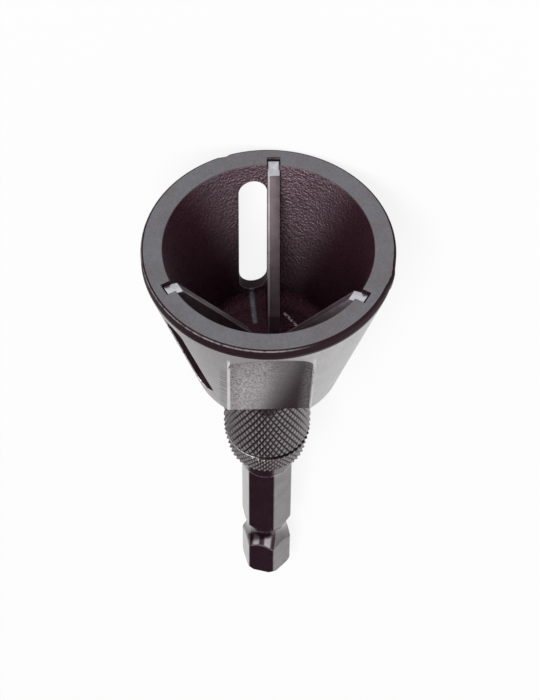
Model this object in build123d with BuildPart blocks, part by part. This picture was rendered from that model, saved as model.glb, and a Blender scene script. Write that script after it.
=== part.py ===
from build123d import *
import math
import os

# External chamfering bit: a hollow steel cup with three blades set in its wall, a knurled hub
# behind it and a 1/4 inch hex shank. It lies on its side, as it comes to rest on a bench.
# Millimetres. Along the bit, heights are measured from the end of the shank towards the mouth.

os.makedirs("parts", exist_ok=True)

# ---- driving dimensions ----

# cup
mouth_diameter = 32.0  # across the land at the rim
rim_width = 2.7  # flat annular face round the mouth
rim_rounding = 0.45  # outer edge of the rim
land_height = 1.7  # straight band below the rim face
cup_length = 24.4  # rim face to the back of the cup
cup_back_diameter = 19.4
cup_bore_depth = 21.8  # rim face to the floor inside
cup_floor_diameter = 17.2
cup_floor_fillet = 2.0
cup_back_rounding = 0.3

# milled flat on the outside of the cup
flat_mill_diameter = 10.5  # the flat's width, and its round upper end
flat_chord = 10.8  # the plane's width on the cone: wider than the mill, which leaves low walls
flat_start = 0.25  # from the land to the flat
flat_run_out = 1.0  # cutter travel past the back of the cup
flat_angle = 195.7  # round the axis, from the hex face that the bit lies on

# blades
blade_count = 3
blade_angle = 14.4  # first blade, round the axis
blade_thickness = 1.55
blade_top_outer_radius = 14.23
blade_top_outer_drop = 0.45  # below the rim face
blade_top_inner_radius = 12.25
blade_top_inner_drop = 0.95
blade_foot_radius = 2.0  # where the cutting edge ends, near the axis
blade_foot_height = 4.2  # straight part of the inner edge, above the floor
blade_base_outer_radius = 9.3
slot_side_clearance = 0.05
slot_end_clearance = 0.27

# chip windows
window_width = 3.7
window_start = 3.4  # rim face to the window's upper end, on the outside
window_end = 20.9  # rim face to its lower end
window_cut_margin = 1.5  # the cutter passes both faces of the wall by this much

# knurled hub
hub_diameter = 12.0  # over the knurl
knurl_depth = 0.3
hub_length = 19.9
hub_line_height = 4.4  # turned line, from the hub's end
hub_line_width = 0.4
hub_line_depth = 0.25
hub_end_diameter = 10.7  # over the knurl, at the end of the tapered part
hub_end_rounding = 0.25

# shank
hex_across_flats = 6.35
hex_length = 27.1
hex_corner_rounding = 0.4
collar_diameter = 7.4
collar_length = 4.0
collar_rounding = 0.2
detent_centre = 9.5  # from the end of the shank
detent_width = 6.2  # across the groove, at the hex corners
detent_root_diameter = 5.3
end_face_diameter = 6.75  # a little over the flats, so each hex face keeps a straight end edge
end_chamfer_height = 0.6  # at the hex corners
spigot_diameter = 6.0
spigot_length = 12.0
spigot_clearance = 0.05
spigot_chamfer = 0.4

# ---- heights along the bit and radii worked out from the above ----

collar_bottom = hex_length
hub_bottom = collar_bottom + collar_length
cup_back = hub_bottom + hub_length
rim = cup_back + cup_length
land_bottom = rim - land_height
floor = rim - cup_bore_depth
hub_line = hub_bottom + hub_line_height

mouth_radius = mouth_diameter / 2
cup_back_radius = cup_back_diameter / 2
bore_radius = mouth_radius - rim_width
floor_radius = cup_floor_diameter / 2
hub_root_radius = hub_diameter / 2 - knurl_depth
hub_end_radius = hub_end_diameter / 2 - knurl_depth
hex_face_distance = hex_across_flats / 2
hex_corner_radius = hex_face_distance / math.cos(math.radians(30))
collar_radius = collar_diameter / 2
end_face_radius = end_face_diameter / 2

cone_slope = (mouth_radius - cup_back_radius) / (land_bottom - cup_back)

window_length = (window_end - window_start) * math.hypot(1, cone_slope)

flat_mill_radius = flat_mill_diameter / 2
flat_top = land_bottom - flat_start
flat_bottom = cup_back - flat_run_out

spigot_radius = spigot_diameter / 2
detent_root_radius = detent_root_diameter / 2
detent_depth = hex_corner_radius - detent_root_radius
detent_arc_radius = (detent_depth**2 + (detent_width / 2) ** 2) / (2 * detent_depth)

# ---- the pose at rest: on the land's lower edge and the end of one hex face ----

rest_tilt = math.atan((mouth_radius - hex_face_distance) / land_bottom)
rest_cos = math.cos(rest_tilt)
rest_sin = math.sin(rest_tilt)
front_x = rim * rest_cos + (mouth_radius - rim_rounding) * rest_sin
back_x = -hex_face_distance * rest_sin
bit_plane = Plane(
    origin=(-(front_x + back_x) / 2, 0, hex_face_distance * rest_cos),
    x_dir=(rest_sin, 0, -rest_cos),
    z_dir=(rest_cos, 0, rest_sin),
)


def radial_plane(angle):
    """Plane through the axis: x outwards at this angle, y towards the mouth."""
    turn = math.radians(angle)
    outwards = bit_plane.x_dir * math.cos(turn) + bit_plane.y_dir * math.sin(turn)
    return Plane(origin=bit_plane.origin, x_dir=outwards, z_dir=outwards.cross(bit_plane.z_dir))


def cone_radius(height):
    return cup_back_radius + cone_slope * (height - cup_back)


def flat_distance(height):
    """How far from the axis the flat's chord lies at this height on the cone."""
    return math.sqrt(cone_radius(height) ** 2 - (flat_chord / 2) ** 2)


flat_slope = (flat_distance(flat_top) - flat_distance(cup_back)) / (flat_top - cup_back)
flat_side = radial_plane(flat_angle)
flat_plane = Plane(
    origin=flat_side.from_local_coords(Vector(flat_distance(flat_top), flat_top, 0)),
    x_dir=-flat_side.z_dir,
    z_dir=flat_side.from_local_coords(Vector(1, -flat_slope, 0)) - flat_side.origin,
)
flat_length = (flat_top - flat_bottom) * math.hypot(1, flat_slope)
flat_cut_height = mouth_radius - flat_distance(flat_top) + rim_width


def window_plane(angle):
    """Plane on the cone, x up its slope, centred on the window in front of the blade at this angle."""
    side = radial_plane(angle).offset(-(slot_side_clearance + window_width / 2))
    slope = math.atan(cone_slope)
    height = rim - (window_start + window_end) / 2
    along = Vector(math.sin(slope), math.cos(slope), 0)
    outwards = Vector(math.cos(slope), -math.sin(slope), 0)
    origin = side.from_local_coords(Vector(cone_radius(height), height, 0))
    return Plane(
        origin=origin,
        x_dir=side.from_local_coords(along) - side.origin,
        z_dir=side.from_local_coords(outwards) - side.origin,
    )


bit_axis = Axis(bit_plane.origin, bit_plane.z_dir)
profile_plane = radial_plane(0)

# ---- head: cup and hub turned from one bar ----

with BuildPart() as head:
    with BuildSketch(profile_plane):
        with BuildLine():
            Polyline(
                (0, floor),
                (floor_radius, floor),
                (bore_radius, rim),
                (mouth_radius, rim),
                (mouth_radius, land_bottom),
                (cup_back_radius, cup_back),
                (hub_root_radius, cup_back),
                (hub_root_radius, hub_line + hub_line_width / 2),
                (hub_root_radius - hub_line_depth, hub_line),
                (hub_root_radius, hub_line - hub_line_width / 2),
                (hub_end_radius, hub_bottom),
                (0, hub_bottom),
                close=True,
            )
        make_face()
    revolve(axis=bit_axis)

    def ring_edge(radius, height):
        """The circular edge at this radius and height."""
        spot = bit_plane.from_local_coords(Vector(radius, 0, height))
        return head.edges().sort_by_distance(spot)[0]

    fillet(ring_edge(floor_radius, floor), cup_floor_fillet)
    fillet(ring_edge(mouth_radius, rim), rim_rounding)
    fillet(ring_edge(cup_back_radius, cup_back), cup_back_rounding)
    fillet(ring_edge(hub_end_radius, hub_bottom), hub_end_rounding)

    # blind bore for the shank's spigot
    with BuildSketch(bit_plane.offset(hub_bottom)):
        Circle(spigot_radius + spigot_clearance)
    extrude(amount=spigot_length + spigot_clearance, mode=Mode.SUBTRACT)

    # milled flat: its plane keeps the same chord along the cone
    with BuildSketch(flat_plane):
        with BuildLine():
            ThreePointArc(
                (-flat_mill_radius, -flat_mill_radius),
                (0, 0),
                (flat_mill_radius, -flat_mill_radius),
            )
            Polyline(
                (flat_mill_radius, -flat_mill_radius),
                (flat_mill_radius, -flat_length),
                (-flat_mill_radius, -flat_length),
                (-flat_mill_radius, -flat_mill_radius),
            )
        make_face()
    extrude(amount=flat_cut_height, mode=Mode.SUBTRACT)

    for number in range(blade_count):
        angle = blade_angle + number * 360 / blade_count

        # chip window, cut square to the cone in front of the blade
        with BuildSketch(window_plane(angle)):
            SlotOverall(window_length, window_width)
        extrude(amount=window_cut_margin, mode=Mode.SUBTRACT)
        with BuildSketch(window_plane(angle)):
            SlotOverall(window_length, window_width)
        extrude(amount=-(rim_width + window_cut_margin), mode=Mode.SUBTRACT)

        # slot that the blade is brazed into
        with BuildSketch(radial_plane(angle).offset(-slot_side_clearance)):
            with BuildLine():
                Polyline(
                    (blade_foot_radius, floor),
                    (blade_base_outer_radius + slot_end_clearance, floor),
                    (blade_top_outer_radius + slot_end_clearance, rim),
                    (blade_foot_radius, rim),
                    close=True,
                )
            make_face()
        extrude(amount=blade_thickness + 2 * slot_side_clearance, mode=Mode.SUBTRACT)

head.part.label = "head"
export_step(head.part, "parts/head.step")

# ---- blades: ground plates, the cutting edge in a plane through the axis ----

for number in range(blade_count):
    angle = blade_angle + number * 360 / blade_count
    with BuildPart() as blade:
        with BuildSketch(radial_plane(angle)):
            with BuildLine():
                Polyline(
                    (blade_foot_radius, floor),
                    (blade_base_outer_radius, floor),
                    (blade_top_outer_radius, rim - blade_top_outer_drop),
                    (blade_top_inner_radius, rim - blade_top_inner_drop),
                    (blade_foot_radius, floor + blade_foot_height),
                    close=True,
                )
            make_face()
        extrude(amount=blade_thickness)
    name = f"blade_{number + 1}"
    blade.part.label = name
    export_step(blade.part, f"parts/{name}.step")

# ---- shank: hex bar with a detent groove, turned at the collar and the spigot ----

with BuildPart() as shank:
    with BuildSketch(bit_plane):
        RegularPolygon(hex_corner_radius, side_count=6, rotation=30)
    extrude(amount=hex_length)
    fillet(shank.edges().filter_by(bit_axis), hex_corner_rounding)

    # chamfered end of the hex
    with BuildSketch(profile_plane):
        with BuildLine():
            Polyline(
                (end_face_radius, 0),
                (hex_corner_radius, end_chamfer_height),
                (hex_corner_radius, 0),
                close=True,
            )
        make_face()
    revolve(axis=bit_axis, mode=Mode.SUBTRACT)

    # detent groove, a shallow arc run round the hex
    with BuildSketch(profile_plane):
        with Locations((detent_root_radius + detent_arc_radius, detent_centre)):
            Circle(detent_arc_radius)
    revolve(axis=bit_axis, mode=Mode.SUBTRACT)

    # collar and spigot
    with BuildSketch(profile_plane) as turned:
        with BuildLine():
            Polyline(
                (0, hex_length),
                (collar_radius, hex_length),
                (collar_radius, hub_bottom),
                (spigot_radius, hub_bottom),
                (spigot_radius, hub_bottom + spigot_length - spigot_chamfer),
                (spigot_radius - spigot_chamfer, hub_bottom + spigot_length),
                (0, hub_bottom + spigot_length),
                close=True,
            )
        make_face()
        fillet(turned.vertices().sort_by(Axis.X)[-2:].sort_by(Axis.Y)[0], collar_rounding)
    revolve(axis=bit_axis)

shank.part.label = "hex_shank"
export_step(shank.part, "parts/hex_shank.step")
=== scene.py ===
import math
import bmesh
import bpy
from mathutils import Euler, Matrix, Vector


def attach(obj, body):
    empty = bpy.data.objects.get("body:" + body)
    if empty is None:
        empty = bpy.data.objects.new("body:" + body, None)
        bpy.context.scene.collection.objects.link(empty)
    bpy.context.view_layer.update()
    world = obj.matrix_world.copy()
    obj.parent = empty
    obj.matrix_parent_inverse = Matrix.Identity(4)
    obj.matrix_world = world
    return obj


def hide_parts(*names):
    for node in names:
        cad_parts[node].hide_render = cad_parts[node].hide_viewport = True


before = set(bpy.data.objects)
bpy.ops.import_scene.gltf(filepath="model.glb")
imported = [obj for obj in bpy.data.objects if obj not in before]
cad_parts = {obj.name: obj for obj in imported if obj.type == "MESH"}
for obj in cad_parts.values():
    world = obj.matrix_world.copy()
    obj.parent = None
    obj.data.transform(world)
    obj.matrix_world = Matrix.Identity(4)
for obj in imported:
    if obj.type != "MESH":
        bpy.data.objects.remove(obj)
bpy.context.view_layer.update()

# The bit is modelled upright in millimetres, its axis along Z and its heights measured from
# the shank's end. layDown then puts each piece on the bench, in metres.
millimetre = 0.001
mouthRadius, rimHeight, landHeight, rimRounding = 16.0, 75.4, 1.7, 0.45
hexFace = 3.175  # axis to a face of the shank
tilt = math.atan((mouthRadius - hexFace) / (rimHeight - landHeight))
frontX = rimHeight * math.cos(tilt) + (mouthRadius - rimRounding) * math.sin(tilt)
backX = -hexFace * math.sin(tilt)
layTurn = Euler((0, math.pi / 2 - tilt, 0))
layPlace = Vector((-(frontX + backX) / 2, 0, hexFace * math.cos(tilt))) * millimetre


def deselectAll():
    if bpy.context.object and bpy.context.object.mode != "OBJECT":
        bpy.ops.object.mode_set(mode="OBJECT")
    bpy.ops.object.select_all(action="DESELECT")


def makeActive(piece):
    deselectAll()
    piece.select_set(True)
    bpy.context.view_layer.objects.active = piece


def editPiece(piece, selectMode="VERT"):
    makeActive(piece)
    bpy.ops.object.mode_set(mode="EDIT")
    bpy.ops.mesh.select_mode(type=selectMode)
    bpy.ops.mesh.select_all(action="DESELECT")


# Selects what a test on its corners' places accepts.
def pick(piece, test, kind="verts"):
    mesh = bmesh.from_edit_mesh(piece.data)
    for part in getattr(mesh, kind):
        corners = [part.co] if kind == "verts" else [v.co for v in part.verts]
        part.select_set(test(corners))
    bmesh.update_edit_mesh(piece.data)


def near(value, target, within=0.02):
    return abs(value - target) < within


def radiusOf(co):
    return math.hypot(co.x, co.y)


def finishEditing():
    bpy.ops.object.mode_set(mode="OBJECT")


def applyPlace(piece):
    makeActive(piece)
    bpy.ops.object.transform_apply(location=True, rotation=True, scale=True)


def addModifier(piece, kind, **settings):
    makeActive(piece)
    bpy.ops.object.modifier_add(type=kind)
    modifier = piece.modifiers[-1]
    for key, value in settings.items():
        setattr(modifier, key, value)
    bpy.ops.object.modifier_apply(modifier=modifier.name)


# Draws a ring out along the bit: each step is the next (radius, height) and, where the run
# is divided, into how many.
def turnRings(sides, steps, closeEnd=False):
    deselectAll()
    radius, height = steps[0][:2]
    bpy.ops.mesh.primitive_circle_add(vertices=sides, radius=radius, location=(0, 0, height))
    piece = bpy.context.object
    applyPlace(piece)
    editPiece(piece, "EDGE")
    bpy.ops.mesh.select_all(action="SELECT")
    for nextRadius, nextHeight, *runs in steps[1:]:
        pieces = runs[0] if runs else 1
        growth, rise = (nextRadius - radius) / pieces, (nextHeight - height) / pieces
        for _ in range(pieces):
            ratio = (radius + growth) / radius
            radius, height = radius + growth, height + rise
            bpy.ops.mesh.extrude_region_move(TRANSFORM_OT_translate={"value": (0, 0, rise)})
            bpy.ops.transform.resize(value=(ratio, ratio, 1), center_override=(0, 0, height))
    if closeEnd:
        bpy.ops.mesh.edge_face_add()
    finishEditing()
    return piece


def layDown(piece, name):
    piece.name = piece.data.name = name
    piece.rotation_euler = layTurn
    piece.location = layPlace
    piece.scale = (millimetre,) * 3
    applyPlace(piece)


def smoothShade(piece, degrees):
    makeActive(piece)
    bpy.ops.object.shade_smooth_by_angle(angle=math.radians(degrees))


cup = {
    "sides": 180,
    "wallRows": 12,
    "spigotBore": (3.05, 43.15),  # radius, height of its blind end
    "hubBottom": 31.1,
    "hubEndRadius": 5.05,
    "hubRadius": 5.7,  # under the knurl
    "hubLine": 35.5,
    "hubLineWidth": 0.4,
    "hubLineDepth": 0.25,
    "back": 51.0,
    "backRadius": 9.7,
    "floor": 53.6,
    "floorRadius": 8.6,
    "rimWidth": 2.7,
    "rounds": {"rim": 0.45, "floor": 1.61, "back": 0.23, "hubEnd": 0.21},  # bevel widths
    "roundSteps": {"rim": 8, "floor": 10, "back": 7, "hubEnd": 7},
    "edgeBreak": 0.1,  # on every cut edge
    "breakAngle": 38,
    "weld": 0.02,  # corners closer than this are merged after the cuts
    "shadeAngle": 14,
    "normalWeight": 80,
}
boreRadius = mouthRadius - cup["rimWidth"]
landBottom = rimHeight - landHeight
coneSlope = (mouthRadius - cup["backRadius"]) / (landBottom - cup["back"])
coneAngle = math.atan(coneSlope)
boreSlope = (boreRadius - cup["floorRadius"]) / (rimHeight - cup["floor"])


def coneRadius(height):
    return cup["backRadius"] + coneSlope * (height - cup["back"])


def turnHead():
    line, half = cup["hubLine"], cup["hubLineWidth"] / 2
    steps = [
        cup["spigotBore"],
        (cup["spigotBore"][0], cup["hubBottom"]),
        (cup["hubEndRadius"], cup["hubBottom"]),
        (cup["hubRadius"], line - half),
        (cup["hubRadius"] - cup["hubLineDepth"], line),
        (cup["hubRadius"], line + half),
        (cup["hubRadius"], cup["back"]),
        (cup["backRadius"], cup["back"]),
        (mouthRadius, landBottom, cup["wallRows"]),
        (mouthRadius, rimHeight),
        (boreRadius, rimHeight),
        (cup["floorRadius"], cup["floor"], cup["wallRows"]),
    ]
    head = turnRings(cup["sides"], steps, closeEnd=True)
    editPiece(head)
    pick(head, lambda c: near(c[0].z, cup["spigotBore"][1]) and near(radiusOf(c[0]), steps[0][0]))
    bpy.ops.mesh.edge_face_add()
    corners = {
        "rim": (mouthRadius, rimHeight),
        "floor": (cup["floorRadius"], cup["floor"]),
        "back": (cup["backRadius"], cup["back"]),
        "hubEnd": (cup["hubEndRadius"], cup["hubBottom"]),
    }
    bpy.ops.mesh.select_mode(type="EDGE")
    for name, (radius, height) in corners.items():
        bpy.ops.mesh.select_all(action="DESELECT")
        pick(head, lambda c: all(near(v.z, height) and near(radiusOf(v), radius) for v in c),
             "edges")
        bpy.ops.mesh.bevel(offset=cup["rounds"][name], segments=cup["roundSteps"][name],
                           affect="EDGES")
    bpy.ops.mesh.select_all(action="SELECT")
    bpy.ops.mesh.normals_make_consistent(inside=False)
    finishEditing()
    return head


cuts = {
    "firstAngle": 14.4,  # first blade, round the axis from the face that the bit lies on
    "count": 3,
    "windowWidth": 3.7,
    "windowStart": 3.4,
    "windowEnd": 20.9,
    "windowReach": 1.5,
    "windowSteps": 14,  # round each end
    "slotClearance": 0.05,
    "slotEnd": 0.27,
    "flatAngle": 195.7,
    "flatChord": 10.8,
    "millRadius": 5.25,
    "flatStart": 0.25,
    "flatRunOut": 1.0,
    "flatReach": 6.0,  # of the mill outwards
    "flatSteps": 32,
    "overRim": 1.0,  # how far a slot's cutter goes past the rim
    "roundShare": 0.999,  # of half a width, so that two roundings don't meet
}
# Wear on the rim: angle, reach, movement outwards.
dents = [(34.5, 0.75, -0.22), (268.0, 1.4, 0.2)]
dentSteps = (0.5, 1.0)  # shares of the reach
blades = {
    "thickness": 1.55,
    "topOuter": (14.23, 0.45),  # radius, drop below the rim
    "topInner": (12.25, 0.95),
    "footRadius": 2.0,
    "footHeight": 4.2,
    "baseOuter": 9.3,
    "edgeBreak": 0.06,
    "breakAngle": 15,
    "shadeAngle": 35,
}


# A block with its faces at these places.
def cutBlock(low, high):
    deselectAll()
    size = [b - a for a, b in zip(low, high)]
    middle = [(a + b) / 2 for a, b in zip(low, high)]
    bpy.ops.mesh.primitive_cube_add(size=1, location=middle)
    block = bpy.context.object
    block.scale = size
    applyPlace(block)
    return block


def roundEdges(block, radius, segments, test):
    editPiece(block, "EDGE")
    pick(block, test, "edges")
    bpy.ops.mesh.bevel(offset=radius, segments=segments, affect="EDGES")
    finishEditing()


def turnAboutAxis(piece, degrees):
    piece.rotation_euler = (0, 0, math.radians(degrees))
    applyPlace(piece)


# Trims a plate standing in the XZ plane along the line from one (x, z) point to another;
# what lies to the left of the line's run goes.
def trimPlate(plate, start, end):
    editPiece(plate)
    bpy.ops.mesh.select_all(action="SELECT")
    run = Vector((end[0] - start[0], 0, end[1] - start[1]))
    outwards = Vector((-run.z, 0, run.x)).normalized()
    bpy.ops.mesh.bisect(plane_co=(start[0], 0, start[1]), plane_no=outwards,
                        use_fill=True, clear_outer=True)
    finishEditing()


# Moves the corners near a place on the rim, less the further they lie from it.
def dent(piece, angle, reach, outwards):
    turn = math.radians(angle)
    away = Vector((math.cos(turn), math.sin(turn), 0))
    middle = away * mouthRadius + Vector((0, 0, rimHeight - cup["rounds"]["rim"]))
    editPiece(piece)
    for share in dentSteps:
        bpy.ops.mesh.select_all(action="DESELECT")
        pick(piece, lambda c: (c[0] - middle).length < reach * share)
        bpy.ops.transform.translate(value=away * outwards / len(dentSteps))
    finishEditing()


# In a blade's own frame the cutting edge lies in the XZ plane, and the body on the -Y side.
def slotCutter():
    c, b = cuts["slotClearance"], blades
    outerBase = (b["baseOuter"] + cuts["slotEnd"], cup["floor"])
    outerTop = (b["topOuter"][0] + cuts["slotEnd"], rimHeight)
    grow = (outerTop[0] - outerBase[0]) / (outerTop[1] - outerBase[1])
    over = cuts["overRim"]
    block = cutBlock((b["footRadius"], -b["thickness"] - c, cup["floor"]),
                     (outerTop[0] + over * grow, c, rimHeight + over))
    trimPlate(block, (outerTop[0] + over * grow, rimHeight + over), outerBase)
    return block


def windowCutter():
    length = (cuts["windowEnd"] - cuts["windowStart"]) / math.cos(coneAngle)
    half = cuts["windowWidth"] / 2
    block = cutBlock((-cup["rimWidth"] - cuts["windowReach"], -half, -length / 2),
                     (cuts["windowReach"], half, length / 2))
    roundEdges(block, half * cuts["roundShare"], cuts["windowSteps"],
               lambda c: near(c[0].y, c[1].y) and near(c[0].z, c[1].z))
    height = rimHeight - (cuts["windowStart"] + cuts["windowEnd"]) / 2
    block.rotation_euler = (0, coneAngle, 0)
    block.location = (coneRadius(height), cuts["slotClearance"] + half, height)
    applyPlace(block)
    return block


def flatCutter():
    top, half = landBottom - cuts["flatStart"], cuts["flatChord"] / 2
    depthTop = math.sqrt(coneRadius(top) ** 2 - half ** 2)
    depthBack = math.sqrt(cup["backRadius"] ** 2 - half ** 2)
    slope = math.atan((depthTop - depthBack) / (top - cup["back"]))
    length = (top - cup["back"] + cuts["flatRunOut"]) / math.cos(slope)
    r = cuts["millRadius"]
    block = cutBlock((0, -r, -length), (cuts["flatReach"], r, 0))
    roundEdges(block, r * cuts["roundShare"], cuts["flatSteps"],
               lambda c: near(c[0].z, 0) and near(c[1].z, 0) and near(c[0].y, c[1].y))
    block.rotation_euler = (0, slope, 0)
    block.location = (depthTop, 0, top)
    applyPlace(block)
    turnAboutAxis(block, cuts["flatAngle"])
    return block


def cutAway(body, cutter):
    addModifier(body, "BOOLEAN", object=cutter, operation="DIFFERENCE", solver="EXACT")
    bpy.data.objects.remove(cutter)


def bladeAngles():
    return [cuts["firstAngle"] + n * 360 / cuts["count"] for n in range(cuts["count"])]


def cutHead(head):
    cutAway(head, flatCutter())
    for angle in bladeAngles():
        for make in (windowCutter, slotCutter):
            cutter = make()
            turnAboutAxis(cutter, angle)
            cutAway(head, cutter)


knurl = {
    "columns": 45,
    "height": 0.3,  # of the ridges
    "overlap": 0.05,  # from each end of a band to the first ring
    "bands": [(35.7, 51.0, 5.7, 5.7, 9), (31.32, 35.3, 5.09, 5.7, 3)],  # heights, radii, rows
    "taper": 0.153,  # of the lower band
    "plainRise": 1.0,  # the plain hub's faces are taller than this
    "plainRadii": (4.9, 5.8),
    "within": (0.02, 0.012),  # how near a face and a ring lie to their heights
    "hubReach": 6.5,
}


# One band of pyramids: a tube's faces are poked, their old edges dissolved to leave diamonds,
# and the diamonds poked again, this time outwards.
def knurlBand(low, high, lowRadius, highRadius, rows):
    low, high = low + knurl["overlap"], high - knurl["overlap"]
    steps = [(lowRadius + (highRadius - lowRadius) * n / rows, low + (high - low) * n / rows)
             for n in range(rows + 1)]
    band = turnRings(knurl["columns"], steps)
    editPiece(band, "FACE")
    bpy.ops.mesh.select_all(action="SELECT")
    bpy.ops.mesh.normals_make_consistent(inside=False)
    corners = {tuple(round(x, 3) for x in v.co) for v in band.data.vertices}
    sag = lowRadius * (1 - math.cos(math.pi / knurl["columns"]))
    bpy.ops.mesh.poke(offset=sag)
    bpy.ops.mesh.select_mode(type="EDGE")
    bpy.ops.mesh.select_all(action="DESELECT")
    ends = (low, high)
    pick(band, lambda c: all(tuple(round(x, 3) for x in v) in corners for v in c)
         and not any(near(c[0].z, e) and near(c[1].z, e) for e in ends), "edges")
    bpy.ops.mesh.dissolve_edges(use_verts=False)
    bpy.ops.mesh.select_mode(type="FACE")
    bpy.ops.mesh.select_all(action="SELECT")
    bpy.ops.mesh.poke(offset=knurl["height"])
    finishEditing()
    return band


# Takes the plain hub faces out, joins the knurled bands in and bridges the gaps.
def knurlHead(head):
    editPiece(head, "FACE")
    bands = knurl["bands"]
    least, most = knurl["plainRadii"]
    slack, ringSlack = knurl["within"]
    pick(head, lambda c: any(all(low - slack < v.z < high + slack for v in c)
                             and max(v.z for v in c) - min(v.z for v in c) > knurl["plainRise"]
                             and all(least < radiusOf(v) < most for v in c)
                             for low, high, *rest in bands), "faces")
    bpy.ops.mesh.delete(type="ONLY_FACE")
    finishEditing()
    for band in bands:
        made = knurlBand(*band)
        makeActive(head)
        made.select_set(True)
        bpy.ops.object.join()
        low, high = band[:2]
        for end, inner in ((low, low + knurl["overlap"]), (high, high - knurl["overlap"])):
            editPiece(head, "EDGE")
            mesh = bmesh.from_edit_mesh(head.data)
            for edge in mesh.edges:
                a, b = edge.verts[0].co, edge.verts[1].co
                ring = any(near(a.z, z, ringSlack) and near(b.z, z, ringSlack)
                           for z in (end, inner))
                edge.select_set(ring and edge.is_boundary and radiusOf(a) < knurl["hubReach"])
            bmesh.update_edit_mesh(head.data)
            bpy.ops.mesh.bridge_edge_loops()
            finishEditing()


def makeBlade(angle, name):
    b = blades
    outer = (b["topOuter"][0], rimHeight - b["topOuter"][1])
    inner = (b["topInner"][0], rimHeight - b["topInner"][1])
    blade = cutBlock((b["footRadius"], -b["thickness"], cup["floor"]), (outer[0], 0, outer[1]))
    trimPlate(blade, outer, (b["baseOuter"], cup["floor"]))
    trimPlate(blade, inner, outer)
    trimPlate(blade, (b["footRadius"], cup["floor"] + b["footHeight"]), inner)
    addModifier(blade, "BEVEL", width=b["edgeBreak"], segments=2, limit_method="ANGLE",
                angle_limit=math.radians(b["breakAngle"]))
    turnAboutAxis(blade, angle)
    smoothShade(blade, b["shadeAngle"])
    layDown(blade, name)
    return blade


print("turning the head")
head = turnHead()
print("cutting the flat, the windows and the slots")
cutHead(head)
editPiece(head)
bpy.ops.mesh.select_all(action="SELECT")
bpy.ops.mesh.remove_doubles(threshold=cup["weld"])
finishEditing()
for place in dents:
    dent(head, *place)
addModifier(head, "BEVEL", width=cup["edgeBreak"], segments=2, limit_method="ANGLE",
            angle_limit=math.radians(cup["breakAngle"]), use_clamp_overlap=False)

print("knurling the hub")
knurlHead(head)
smoothShade(head, cup["shadeAngle"])
addModifier(head, "WEIGHTED_NORMAL", keep_sharp=True, weight=cup["normalWeight"])
layDown(head, "cup_and_hub")
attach(head, "root")
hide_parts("head")
print("head faces", len(head.data.polygons))

print("grinding the blades")
groundBlades = []
for number, angle in enumerate(bladeAngles(), 1):
    blade = makeBlade(angle, f"ground_blade_{number}")
    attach(blade, "root")
    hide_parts(f"blade_{number}")
    groundBlades.append(blade)


camera = {
    "distance": 0.3,  # from the middle of the rim face
    "elevation": 52.418,  # above the rim face
    "side": 270.0,  # turn round the axis, 76.5 is the face that the bit lies on
    "faceTurn": 76.5,
    "aimDepth": 0.022,  # the aim lies on the axis, below the rim face
    "aimOffset": (0.00031, -0.0002),  # to the right and upwards
    "roll": 0.506,
    "lens": 160.0,
    "sensor": 36,
    "clipStart": 0.01,
}


# Direction across the axis at a turn, as seen from the mouth.
def across(degrees):
    turn = math.radians(degrees - camera["faceTurn"])
    direction = Vector((math.cos(turn), math.sin(turn), 0))
    direction.rotate(layTurn)
    return direction


axis = Vector((0, 0, 1))
axis.rotate(layTurn)
rimMiddle = layPlace + axis * rimHeight * millimetre


def placeCamera():
    rise = math.radians(camera["elevation"])
    towards = axis * math.sin(rise) + across(camera["side"]) * math.cos(rise)
    place = rimMiddle + towards * camera["distance"]
    back = (place - (rimMiddle - axis * camera["aimDepth"])).normalized()
    right = across(camera["side"] + 90)
    up = back.cross(right)
    place += right * camera["aimOffset"][0] + up * camera["aimOffset"][1]
    roll = math.radians(camera["roll"])
    right, up = (right * math.cos(roll) + up * math.sin(roll),
                 up * math.cos(roll) - right * math.sin(roll))
    turn = Matrix((right, up, back)).transposed()
    bpy.ops.object.camera_add(location=place, rotation=turn.to_euler())
    eye = bpy.context.object
    eye.data.lens = camera["lens"]
    eye.data.sensor_width = camera["sensor"]
    eye.data.sensor_fit = "HORIZONTAL"
    eye.data.clip_start = camera["clipStart"]
    bpy.context.scene.camera = eye


print("placing the camera")
placeCamera()


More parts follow.
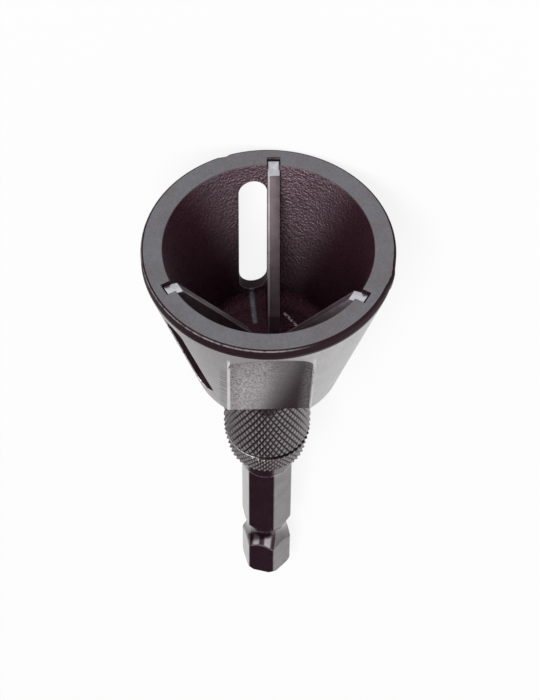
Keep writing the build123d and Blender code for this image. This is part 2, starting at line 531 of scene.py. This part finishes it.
class Signal:
    # Wraps a socket of a material's nodes; arithmetic on it adds Math nodes.
    def __init__(self, tree, socket=None):
        self.tree, self.socket = tree, socket

    # Adds any node: its settings first, then the values or links of its sockets.
    def node(self, kind, settings=None, inputs=None, output=0):
        made = self.tree.nodes.new(kind)
        for key, value in (settings or {}).items():
            setattr(made, key, value)
        for key, value in (inputs or {}).items():
            if isinstance(value, Signal):
                self.tree.links.new(value.socket, made.inputs[key])
            else:
                made.inputs[key].default_value = value
        return Signal(self.tree, made.outputs[output] if made.outputs else None)

    def also(self, output):  # another output of the same node
        return Signal(self.tree, self.socket.node.outputs[output])

    def maths(self, operation, *values):
        return self.node("ShaderNodeMath", {"operation": operation},
                         dict(enumerate((self, *values))))

    def __add__(self, other):
        return self.maths("ADD", other)

    def __sub__(self, other):
        return self.maths("SUBTRACT", other)

    def __rsub__(self, other):
        return self.maths("MULTIPLY", -1.0) + other

    def __mul__(self, other):
        return self.maths("MULTIPLY", other)

    def __abs__(self):
        return self.maths("ABSOLUTE")

    __radd__, __rmul__ = __add__, __mul__

    # 0 below the first value and 1 above the second.
    def step(self, low, high):
        return self.node("ShaderNodeMapRange", {"interpolation_type": "SMOOTHSTEP"},
                         {"Value": self, "From Min": low, "From Max": high})

    # The same with both values counted from a place.
    def stepFrom(self, place, fade):
        return self.step(place + fade[0], place + fade[1])

    # 1 within a distance of a value, fading over a further one.
    def within(self, value, reach, fade):
        return 1 - abs(self - value).step(reach, reach + fade)

    # The same with the value counted from a place.
    def withinFrom(self, place, band):
        return self.within(place + band[0], *band[1:])

    # This signal is the share of the second colour in the first.
    def mix(self, first, second):
        return self.node("ShaderNodeMix", {"data_type": "RGBA"}, {0: self, 6: first, 7: second}, 2)

    def scaled(self, share):
        return self.node("ShaderNodeVectorMath", {"operation": "SCALE"}, {0: self, "Scale": share})

    def vector(self, x, y, z):
        return self.node("ShaderNodeCombineXYZ", None, {0: x, 1: y, 2: z})

    def noise(self, at, scale, detail=2.0, roughness=0.5):
        return self.node("ShaderNodeTexNoise", None,
                         {"Vector": at, "Scale": scale, "Detail": detail, "Roughness": roughness})


# The bit's own frame in millimetres, from Object coordinates.
def bitFrame(start):
    place = start.node("ShaderNodeTexCoord", output="Object")
    local = start.node("ShaderNodeMapping", {"vector_type": "TEXTURE"},
                       {"Vector": place, "Location": layPlace, "Rotation": layTurn,
                        "Scale": (millimetre,) * 3})
    x = start.node("ShaderNodeSeparateXYZ", None, {0: local}, "X")
    return local, x, x.also("Y"), x.also("Z")


# 1 near the line between two places across the axis.
def nearLine(x, y, start, end, reach, fade):
    run = (end[0] - start[0], end[1] - start[1])
    length = math.hypot(*run)
    along = (x - start[0]) * (run[0] / length) + (y - start[1]) * (run[1] / length)
    along = along.maths("MAXIMUM", 0.0).maths("MINIMUM", length)
    offX = x - start[0] - along * (run[0] / length)
    offY = y - start[1] - along * (run[1] / length)
    return 1 - (offX * offX + offY * offY).maths("SQRT").step(reach, reach + fade)


def newMaterial(name):
    material = bpy.data.materials.new(name)
    material.use_nodes = True
    material.node_tree.nodes.clear()
    return material, Signal(material.node_tree)


patchFade = (0.3, 0.7)


# Lighter and darker patches: the finish gives the lowest share and the range above it.
def shadeOf(patches, finish):
    return patches.step(*patchFade) * finish["shade"][1] + finish["shade"][0]


def steel(start, finish, colour, roughness, bump, metallic=None):
    normal = start.node("ShaderNodeBump", None,
                        {"Height": bump, "Strength": finish["bumpStrength"],
                         "Distance": finish["bumpDepth"] * millimetre})
    shader = start.node("ShaderNodeBsdfPrincipled", None,
                        {"Base Color": colour, "Roughness": roughness, "Normal": normal,
                         "Metallic": metallic or finish["metallic"]})
    start.node("ShaderNodeOutputMaterial", None, {"Surface": shader})


headFinish = {
    "outside": (0.065, 0.053, 0.058, 1),
    "rounding": (0.05, 0.036, 0.042, 1),
    # the cone's blackened steel is painted far lighter, a painted reflection of the pale floor,
    # and a little darker towards the left, a painted shade
    "cone": (0.41, 0.4, 0.4, 1),
    "coneLeft": (0.3, 0.29, 0.295, 1),
    "rim": (0.178, 0.167, 0.176, 1),
    "rimBluish": (0.168, 0.168, 0.185, 1),
    "inside": (0.21, 0.145, 0.17, 1),
    "insidePaintedShade": (0.085, 0.035, 0.05, 1),
    "cut": (0.03, 0.014, 0.018, 1),
    "flatPaintedReflection": (0.52, 0.51, 0.51, 1),
    "flatPaintedShade": (0.025, 0.012, 0.016, 1),
    "ridge": (0.26, 0.24, 0.245, 1),
    "ridgeLeftShade": (0.15, 0.125, 0.135, 1),
    "valleyShade": (0.02, 0.008, 0.012, 1),
    "groove": (0.01, 0.005, 0.006, 1),
    "wearAndHighlight": (0.85, 0.83, 0.83, 1),
    "lightStreak": (0.3, 0.31, 0.38, 1),
    # on the cup's floor, across the axis: start, end, half width, fade
    "streakLine": ((7.9, 4.2), (3.64, 2.64), 0.14, 0.3),
    "brightSpecks": ((5.95, -0.9), (4.5, -2.77), 0.1, 0.16),
    # noises: how many to a millimetre, detail, roughness
    "grain": (3.6, 2.0, 0.7),
    "patches": (0.35, 3.0, 0.6),
    "chatter": (2.4, 1.0, 0.5),
    "speckNoise": (3.0, 2.0, 0.6),
    "broken": (1.6, 3.0, 0.7),
    "rings": (1.0, 3.0, 0.75),
    "cast": (3.0, 2.0, 0.5),
    "ringStretch": (0.35, 0.5, 5.0),  # of the turning marks: round, outwards, along
    "paintedSplit": (0.12, 0.024, 0.7, 1.28),  # painted reflection on the flat: across, along, grain, place
    "flatTopDim": 0.4,
    "flatStreak": 0.35,
    "flatRight": 0.2,
    "rootShadowPoint": 0.9,
    "highlightTurn": 0.2,
    "highlightSpread": (0.021, 0.22),
    "floorDim": 0.15,
    "grainShare": (3.4, 0.6),  # more of it on the flat, and everywhere
    "shares": {"lipHighlight": 0.45, "streakLine": 0.8, "chatter": 0.75, "wornCuts": 0.7},
    "wornEdge": (0.3, 0.7),
    "wornRim": (0.2, 0.06),
    "wornRight": -0.6,
    "wornMetallic": 0.5,
    "rougher": {"rings": 0.1, "flat": 0.1, "flatPaintedShade": 0.3, "rim": 0.14, "inside": 0.18,
                "cut": 0.4},
    "bumps": {"rings": 0.6, "flat": 2.6, "cast": 6.5, "rim": 0.25},
    "shade": (0.93, 0.12),
    "roughness": 0.28,
    "metallic": 0.97,
    "insideMetallic": 0.93,
    "bumpStrength": 0.6,
    "bumpDepth": 0.06,
}


# Where the head's areas fade in, or their middle, reach and fade, in millimetres from the edge
# that each goes with. Those over a noise are shares of it.
headAreas = {
    "soft": (-0.05, 0.0),
    "rim": (-0.03, -0.01),
    "pastBore": (0.04, 0.1),
    "pastFloor": (-0.2, -0.1),
    "belowRim": (-0.12, -0.04),
    "front": (0.0, 1.0),
    "flatSides": (0.0, 0.03),
    "flatDepth": (0.02, 0.06),
    "paintedSplit": (-0.1, 0.7),
    "flatTop": (58.0, 74.0),
    "streak": (-2.3, 0.8, 2.5),
    "flatRight": (3.2, 5.0),
    "left": (-9.0, -3.0),
    "ridge": (0.0, knurl["height"] * 0.6),
    "groove": (-0.1, 0.3, 0.06),
    "hubEnd": (-0.1, 0.0),
    "rounding": (1.0, 1.1),
    "chatter": (-6.0, 0.25, 0.35),
    "chatterTop": (64.0, 70.0),
    "chatterMarks": (0.46, 0.54),
    "cutWall": (0.05, 0.12),
    "ridgeLeftShade": (-6.0, -1.0),
    "lipHighlight": (-0.27, 0.06, 0.05),
    "lipLeft": (-3.5, -1.0),
    "plain": (-0.9, 2.2, 1.2),
    "rootShadowPoint": (-0.1, 0.4, 0.6),
    "rootShadowFrom": (46.6, 47.1),
    "rimPatches": (0.42, 0.62),
    "offHighlight": (-0.1, 0.4),
    "floorPaintedShade": (0.5, 3.0),
    "nearFloor": (1.0, 2.5),
    "speckNoise": (0.42, 0.5),
    "floorDim": (0.2, 3.0),
    "flatEdge": (0.07, 0.14, 0.07),
    "broken": (0.35, 0.55),
    "wornRight": (-1.0, 1.0),
    "wornTop": (70.5, 72.0),
    "wornRim": (-0.2, 0.05, 0.05),
    "wornRimLeft": (0.0, 6.0),
    "wornCuts": (0.012, 0.02),
    "wornCutsEnd": (0.12, 0.15),
}


def headMaterial():
    f, a = headFinish, headAreas
    material, start = newMaterial("blackened_turned_steel")
    local, x, y, height = bitFrame(start)
    radius = (x * x + y * y).maths("SQRT")
    turn = y.maths("ARCTAN2", x)
    depth = (height - cup["back"]) * coneSlope + cup["backRadius"] - radius  # below the cone
    hub = 1 - height.stepFrom(cup["back"], a["soft"])
    onCone = (1 - height.stepFrom(landBottom, a["soft"])) * (1 - hub)
    rim = height.stepFrom(rimHeight, a["rim"])
    bore = (height - cup["floor"]) * boreSlope + cup["floorRadius"]
    pastBore = (radius - bore).step(*a["pastBore"])
    inside = ((1 - pastBore) * height.stepFrom(cup["floor"], a["pastFloor"])
              * (1 - height.stepFrom(rimHeight, a["belowRim"])))

    # the flat's own directions: sideways, and outwards from the axis
    side = math.radians(cuts["flatAngle"])
    sideways = y * math.cos(side) - x * math.sin(side)
    front = (x * math.cos(side) + y * math.sin(side)).step(*a["front"])
    flatSide = front * onCone * (1 - inside)
    flat = flatSide * (1 - abs(sideways).stepFrom(cuts["millRadius"], a["flatSides"]))
    flat = flat * depth.step(*a["flatDepth"])
    grain = start.noise(local, *f["grain"])
    patches = start.noise(local, *f["patches"])
    # painted reflection on the flat: light towards its upper left and dark towards its lower
    # right, dimmer towards the top, with a lighter streak and a little light on the right
    across, along, ragged, place = f["paintedSplit"]
    paintedReflection = sideways * across - height * along + grain * ragged + place
    paintedReflection = 1 - paintedReflection.step(*a["paintedSplit"])
    paintedReflection = paintedReflection * (1 - height.step(*a["flatTop"]) * f["flatTopDim"])
    streak = sideways.within(*a["streak"]) * f["flatStreak"]
    paintedReflection = paintedReflection * (streak + (1 - f["flatStreak"]))
    paintedReflection = paintedReflection.maths("MAXIMUM", sideways.step(*a["flatRight"]) * f["flatRight"])
    # painted shade on the cone towards its left
    shadedLeftSide = 1 - sideways.step(*a["left"])

    # the knurl: from its valleys, painted dark as shade, to its tips
    endHeight, _, endRadius, *_ = knurl["bands"][1]
    baseRadius = ((height - endHeight) * knurl["taper"] + endRadius).maths(
        "MINIMUM", cup["hubRadius"])
    ridge = (radius - baseRadius).step(*a["ridge"])
    groove = height.withinFrom(cup["hubLine"], a["groove"]) * hub
    hubEnd = 1 - height.stepFrom(endHeight, a["hubEnd"])

    rounding = (radius.stepFrom(boreRadius, a["rounding"]) * (1 - rim)
                * height.stepFrom(rimHeight - cup["rounds"]["rim"], a["soft"]))
    chatter = sideways.within(*a["chatter"]) * flatSide * (1 - height.step(*a["chatterTop"]))
    marks = start.noise(start.vector(0, 0, height), *f["chatter"])
    chatter = chatter * marks.step(*a["chatterMarks"])
    cutWall = depth.step(*a["cutWall"]) * pastBore * (1 - flat) * (1 - hub) * (1 - rim)

    colour = onCone.mix(f["outside"], shadedLeftSide.mix(f["cone"], f["coneLeft"]))
    colour = rounding.mix(colour, f["rounding"])
    # the walls of the windows and slots are painted darker, a painted shade
    colour = cutWall.mix(colour, f["cut"])
    # the knurl's tips are painted darker towards the left, a painted shade
    ridgeColour = sideways.step(*a["ridgeLeftShade"]).mix(f["ridgeLeftShade"], f["ridge"])
    colour = hub.mix(colour, ridge.mix(f["valleyShade"], ridgeColour))
    colour = (hub * hubEnd).mix(colour, f["outside"])
    # painted shade in the hub's line groove, and a painted highlight on its lower lip towards the
    # left
    colour = groove.mix(colour, f["groove"])
    lipHighlight = height.withinFrom(cup["hubLine"], a["lipHighlight"]) * (1 - sideways.step(*a["lipLeft"]))
    colour = (lipHighlight * f["shares"]["lipHighlight"]).mix(colour, f["wearAndHighlight"])

    # painted shadow at the hub's root below the flat, in the rounding's dark colour
    plain = hub * front * sideways.within(*a["plain"])
    point = sideways.within(*a["rootShadowPoint"]) * f["rootShadowPoint"]
    plain = plain * (height + point).step(*a["rootShadowFrom"])
    colour = plain.mix(colour, f["rounding"])
    colour = flat.mix(colour, paintedReflection.mix(f["flatPaintedShade"], f["flatPaintedReflection"]))
    colour = rim.mix(colour, patches.step(*a["rimPatches"]).mix(f["rim"], f["rimBluish"]))

    # painted highlight inside, round the side that the bit lies on and wider towards the mouth,
    # with painted shade beside it and near the floor
    spread, least = f["highlightSpread"]
    offHighlight = abs(turn - f["highlightTurn"]) - (height - cup["floor"]) * spread - least
    floorPaintedShade = 1 - height.stepFrom(cup["floor"], a["floorPaintedShade"])
    offHighlight = offHighlight.step(*a["offHighlight"]).maths("MAXIMUM", floorPaintedShade)
    colour = inside.mix(colour, offHighlight.mix(f["inside"], f["insidePaintedShade"]))
    # a lighter, bluish streak across the cup's floor
    low = inside * (1 - height.stepFrom(cup["floor"], a["nearFloor"]))
    lightStreak = nearLine(x, y, *f["streakLine"]) * low
    colour = (lightStreak * f["shares"]["streakLine"]).mix(colour, f["lightStreak"])
    # bright specks along a short line on the cup's floor
    brightSpecks = nearLine(x, y, *f["brightSpecks"]) * low
    brightSpecks = brightSpecks * start.noise(local, *f["speckNoise"]).step(*a["speckNoise"])
    colour = brightSpecks.mix(colour, f["wearAndHighlight"])
    colour = (chatter * f["shares"]["chatter"]).mix(colour, f["outside"])
    # painted shade, darker towards the cup's floor
    floorDim = 1 - height.stepFrom(cup["floor"], a["floorDim"])
    tone = shadeOf(patches, f) * (1 - inside * f["floorDim"] * floorDim)
    onFlat, everywhere = f["grainShare"]
    colour = colour.scaled(tone * ((grain - 0.5) * (flat * onFlat + everywhere) + 1))

    # bright wear and painted highlight: the flat's edges, the rim and the cuts' edges, the rim's
    # only towards the left and the flat's weaker on the right
    edge = (abs(sideways) - cuts["millRadius"]).within(*a["flatEdge"])
    broken = start.noise(local, *f["broken"]).step(*a["broken"])
    wearAndHighlight = (edge * flatSide * (broken * f["wornEdge"][0] + f["wornEdge"][1])
            * (sideways.step(*a["wornRight"]) * f["wornRight"] + 1.0)
            * (1 - height.step(*a["wornTop"])))
    wornRim = height.withinFrom(rimHeight, a["wornRim"]) * rounding
    wornRim = wornRim * (broken * f["wornRim"][0] + f["wornRim"][1])
    wornRim = wornRim * (1 - sideways.step(*a["wornRimLeft"]))
    wornCuts = depth.step(*a["wornCuts"]) * (1 - depth.step(*a["wornCutsEnd"])) * onCone * broken
    wornCuts = wornCuts * f["shares"]["wornCuts"]
    wearAndHighlight = wearAndHighlight.maths("MAXIMUM", wornRim).maths("MAXIMUM", wornCuts)
    colour = wearAndHighlight.mix(colour, f["wearAndHighlight"])

    aroundStretch, outStretch, alongStretch = f["ringStretch"]
    ringPlace = start.vector(turn * aroundStretch, radius * outStretch, height * alongStretch)
    rings = start.noise(ringPlace, *f["rings"])
    cast = start.noise(local, *f["cast"])
    more, bumps = f["rougher"], f["bumps"]
    roughness = (f["roughness"] + rings * more["rings"]
                 + flat * ((1 - paintedReflection) * more["flatPaintedShade"] + more["flat"])
                 + rim * more["rim"] + inside * more["inside"] + cutWall * more["cut"])
    bump = (rings * onCone * (1 - flat) * bumps["rings"] + grain * flat * bumps["flat"]
            + cast * inside * bumps["cast"] + grain * rim * bumps["rim"])
    dark = inside.maths("MAXIMUM", cutWall)
    metallic = dark * (f["insideMetallic"] - f["metallic"]) + f["metallic"]
    steel(start, f, colour, roughness, bump, metallic - wearAndHighlight * f["wornMetallic"])
    return material


shankFinish = {
    "colour": (0.18, 0.165, 0.17, 1),
    # the lighter left faces are a painted reflection, the darker top face a painted dark
    # reflection, the light ovals in the detent groove painted highlights and the light edge line
    # at the collar a painted highlight
    "left": (0.28, 0.265, 0.27, 1),
    "front": (0.12, 0.1, 0.11, 1),
    "groove": (0.05, 0.03, 0.04, 1),
    "ovalHighlight": (0.42, 0.4, 0.41, 1),
    "edge": (0.6, 0.56, 0.57, 1),
    "collarHighlightShare": 0.7,
    "faceHalf": 1.83,
    "faceFade": (0.0, 0.05),
    "topFade": (0.5, 0.6),
    "lean": (0.5, 0.866),  # a side face's outwards, from the top face's
    "detentDepth": (3.02, 3.1),
    # middle, reach, fade
    "detent": (9.5, 3.0, 0.3),
    "ovalSide": (0.86, 0.25, 0.4),
    "ovalHeight": (7.9, 0.7, 0.9),
    "collarEdge": (27.22, 0.1, 0.08),
    "drawn": (6.0, 0.25),  # marks across, along
    "marks": (1.0, 3.0, 0.6),
    "patches": (0.6, 3.0, 0.6),
    "marksRougher": 0.06,
    "shade": (0.86, 0.24),
    "roughness": 0.18,
    "metallic": 0.97,
    "bumpStrength": 0.12,
    "bumpDepth": 0.03,
}


def shankMaterial():
    f = shankFinish
    material, start = newMaterial("blackened_drawn_steel")
    local, x, y, height = bitFrame(start)
    acrossMarks, alongMarks = f["drawn"]
    markPlace = start.vector(x * acrossMarks, y * acrossMarks, height * alongMarks)
    drawn = start.noise(markPlace, *f["marks"])
    patches = start.noise(local, *f["patches"])
    up = x * -1.0
    left = y.stepFrom(f["faceHalf"], f["faceFade"])
    top = up.step(*f["topFade"]) * (1 - abs(y).stepFrom(f["faceHalf"], f["faceFade"]))
    # how deep the detent groove lies below the hex
    outwards = up.maths("MAXIMUM", x * -f["lean"][0] + abs(y) * f["lean"][1])
    detent = (1 - outwards.step(*f["detentDepth"])) * height.within(*f["detent"])
    ovalHighlights = abs(y).within(*f["ovalSide"]) * height.within(*f["ovalHeight"])
    # painted reflection on the faces, painted shade and highlights in the detent groove, and a
    # painted highlight at the collar's edge
    colour = left.mix(f["colour"], f["left"])
    colour = top.mix(colour, f["front"])
    colour = (detent * left).mix(colour, f["colour"])
    colour = (detent * top).mix(colour, ovalHighlights.mix(f["groove"], f["ovalHighlight"]))
    edge = height.within(*f["collarEdge"]) * (1 - left)
    colour = (edge * f["collarHighlightShare"]).mix(colour, f["edge"])
    colour = colour.scaled(shadeOf(patches, f))
    steel(start, f, colour, drawn * f["marksRougher"] + f["roughness"], drawn)
    return material


bladeFinish = {
    "sides": (0.095, 0.068, 0.078, 1),
    "back": (0.28, 0.24, 0.26, 1),  # the broad face behind the cutting edge, painted lighter than the other face, a painted light
    "land": (0.28, 0.24, 0.25, 1),  # along the cutting edge, painted lighter as the edge's highlight
    "landWidth": 0.26,
    "landFade": 0.03,
    "edgeFade": (-0.02, -0.01),
    "backFade": (0.02, 0.05),
    "endFade": (-0.03, 0.01),
    "linesPerMm": 14.0,
    "lines": (1.0, 2.0, 0.7),
    "patches": (0.8, 2.0),
    "footHeight": 9.0,  # up to here the foot is painted lighter, a painted light deep in the cup
    "footPaintedLight": 1.6,
    "linesRougher": 0.1,
    "endsSmoother": 0.15,
    "ends": (0.52, 0.51, 0.55, 1),
    "shade": (0.85, 0.3),
    "roughness": 0.45,
    "metallic": 0.3,
    "endMetallic": 0.97,
    "bumpStrength": 0.3,
    "bumpDepth": 0.02,
}


def bladeMaterial():
    f = bladeFinish
    material, start = newMaterial("ground_tool_steel")
    local, x, y, height = bitFrame(start)
    endDrop = rimHeight - blades["topInner"][1]
    ends = height.stepFrom(endDrop, f["endFade"])
    # how far a point lies from its own blade's cutting edge, across the blade
    pitch = 2 * math.pi / cuts["count"]
    first = math.radians(cuts["firstAngle"])
    turn = y.maths("ARCTAN2", x) - (first - pitch / 2)
    turn = turn.maths("FLOORED_MODULO", pitch) - pitch / 2
    sideways = (x * x + y * y).maths("SQRT") * turn.maths("SINE")
    land = sideways.step(-f["landWidth"] - f["landFade"], -f["landWidth"])
    land = land * (1 - sideways.step(*f["edgeFade"]))
    back = 1 - sideways.stepFrom(-blades["thickness"], f["backFade"])
    lines = start.noise(start.vector(x, y, height * f["linesPerMm"]), *f["lines"])
    patches = start.noise(local, *f["patches"])
    # painted highlight along the cutting edge and painted light on the broad back face
    colour = land.mix(f["sides"], f["land"])
    colour = back.mix(colour, f["back"])
    colour = ends.mix(colour, f["ends"])
    # painted light on the blades' feet
    foot = 1 - height.step(cup["floor"], cup["floor"] + f["footHeight"])
    colour = colour.scaled(shadeOf(patches, f) + foot * f["footPaintedLight"])
    roughness = lines * f["linesRougher"] + f["roughness"] - ends * f["endsSmoother"]
    metallic = ends * (f["endMetallic"] - f["metallic"]) + f["metallic"]
    steel(start, f, colour, roughness, lines, metallic)
    return material


def paint(piece, material):
    piece.data.materials.clear()
    piece.data.materials.append(material)


print("painting")
paint(head, headMaterial())
bladeSteel = bladeMaterial()
for blade in groundBlades:
    paint(blade, bladeSteel)
paint(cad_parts["hex_shank"], shankMaterial())


studio = {
    "floorSize": 4.0,
    "floorColour": (0.92, 0.92, 0.92, 1),
    "floorShown": 0.86,  # share of plain white seen by the camera and in the metal
    "world": 0.28,
    # from the object towards the lamp, distance, size, watts
    "lamps": {"top_soft": ((0.42, 0.02, 0.9), 1.2, 0.6, 11.5)},
    # a dark screen that only the metal shows: direction, distance, width, height
    "screen": ((-0.88, 0.32, 0.36), 0.7, 1.18, 0.51),
    "screenColour": (0.12, 0.045, 0.08, 1),
}


# Seen directly, in metal or through glass rather than as light on something.
def seenDirectly(start):
    path = start.node("ShaderNodeLightPath", output="Is Camera Ray")
    seen = path.maths("MAXIMUM", path.also("Is Glossy Ray"))
    return seen.maths("MAXIMUM", path.also("Is Transmission Ray"))


def makeFloor():
    deselectAll()
    bpy.ops.mesh.primitive_plane_add(size=studio["floorSize"])
    floor = bpy.context.object
    floor.name = "pale_floor"
    material, start = newMaterial("pale_floor")
    plain = start.node("ShaderNodeBsdfDiffuse", None, {"Color": studio["floorColour"]})
    white = start.node("ShaderNodeEmission", None, {"Color": (1, 1, 1, 1), "Strength": 1.0})
    both = start.node("ShaderNodeMixShader", None,
                      {0: seenDirectly(start) * studio["floorShown"], 1: plain, 2: white})
    start.node("ShaderNodeOutputMaterial", None, {"Surface": both})
    paint(floor, material)


# Places a flat thing so that it faces the object from a direction.
def facing(direction, distance):
    towards = Vector(direction).normalized()
    return {"location": towards * distance,
            "rotation": towards.to_track_quat("Z", "Y").to_euler()}


def makeScreen():
    direction, distance, width, height = studio["screen"]
    deselectAll()
    bpy.ops.mesh.primitive_plane_add(size=1, **facing(direction, distance))
    screen = bpy.context.object
    screen.name = "dark_screen"
    screen.scale = (width, height, 1)
    material, start = newMaterial("dark_screen")
    glow = start.node("ShaderNodeEmission", None, {"Color": studio["screenColour"]})
    start.node("ShaderNodeOutputMaterial", None, {"Surface": glow})
    paint(screen, material)
    screen.visible_camera = screen.visible_diffuse = screen.visible_shadow = False


def makeWorld():
    world = bpy.data.worlds.new("studio")
    bpy.context.scene.world = world
    world.use_nodes = True
    world.node_tree.nodes.clear()
    start = Signal(world.node_tree)
    strength = seenDirectly(start) * (1 - studio["world"]) + studio["world"]
    back = start.node("ShaderNodeBackground", None, {"Color": (1, 1, 1, 1), "Strength": strength})
    start.node("ShaderNodeOutputWorld", None, {"Surface": back})


def makeLamps():
    for name, (direction, distance, size, watts) in studio["lamps"].items():
        deselectAll()
        bpy.ops.object.light_add(type="AREA", **facing(direction, distance))
        lamp = bpy.context.object
        lamp.name = name
        lamp.data.size = size
        lamp.data.energy = watts


print("lighting")
makeFloor()
makeScreen()
makeWorld()
makeLamps()
bpy.context.scene.view_settings.view_transform = "Standard"
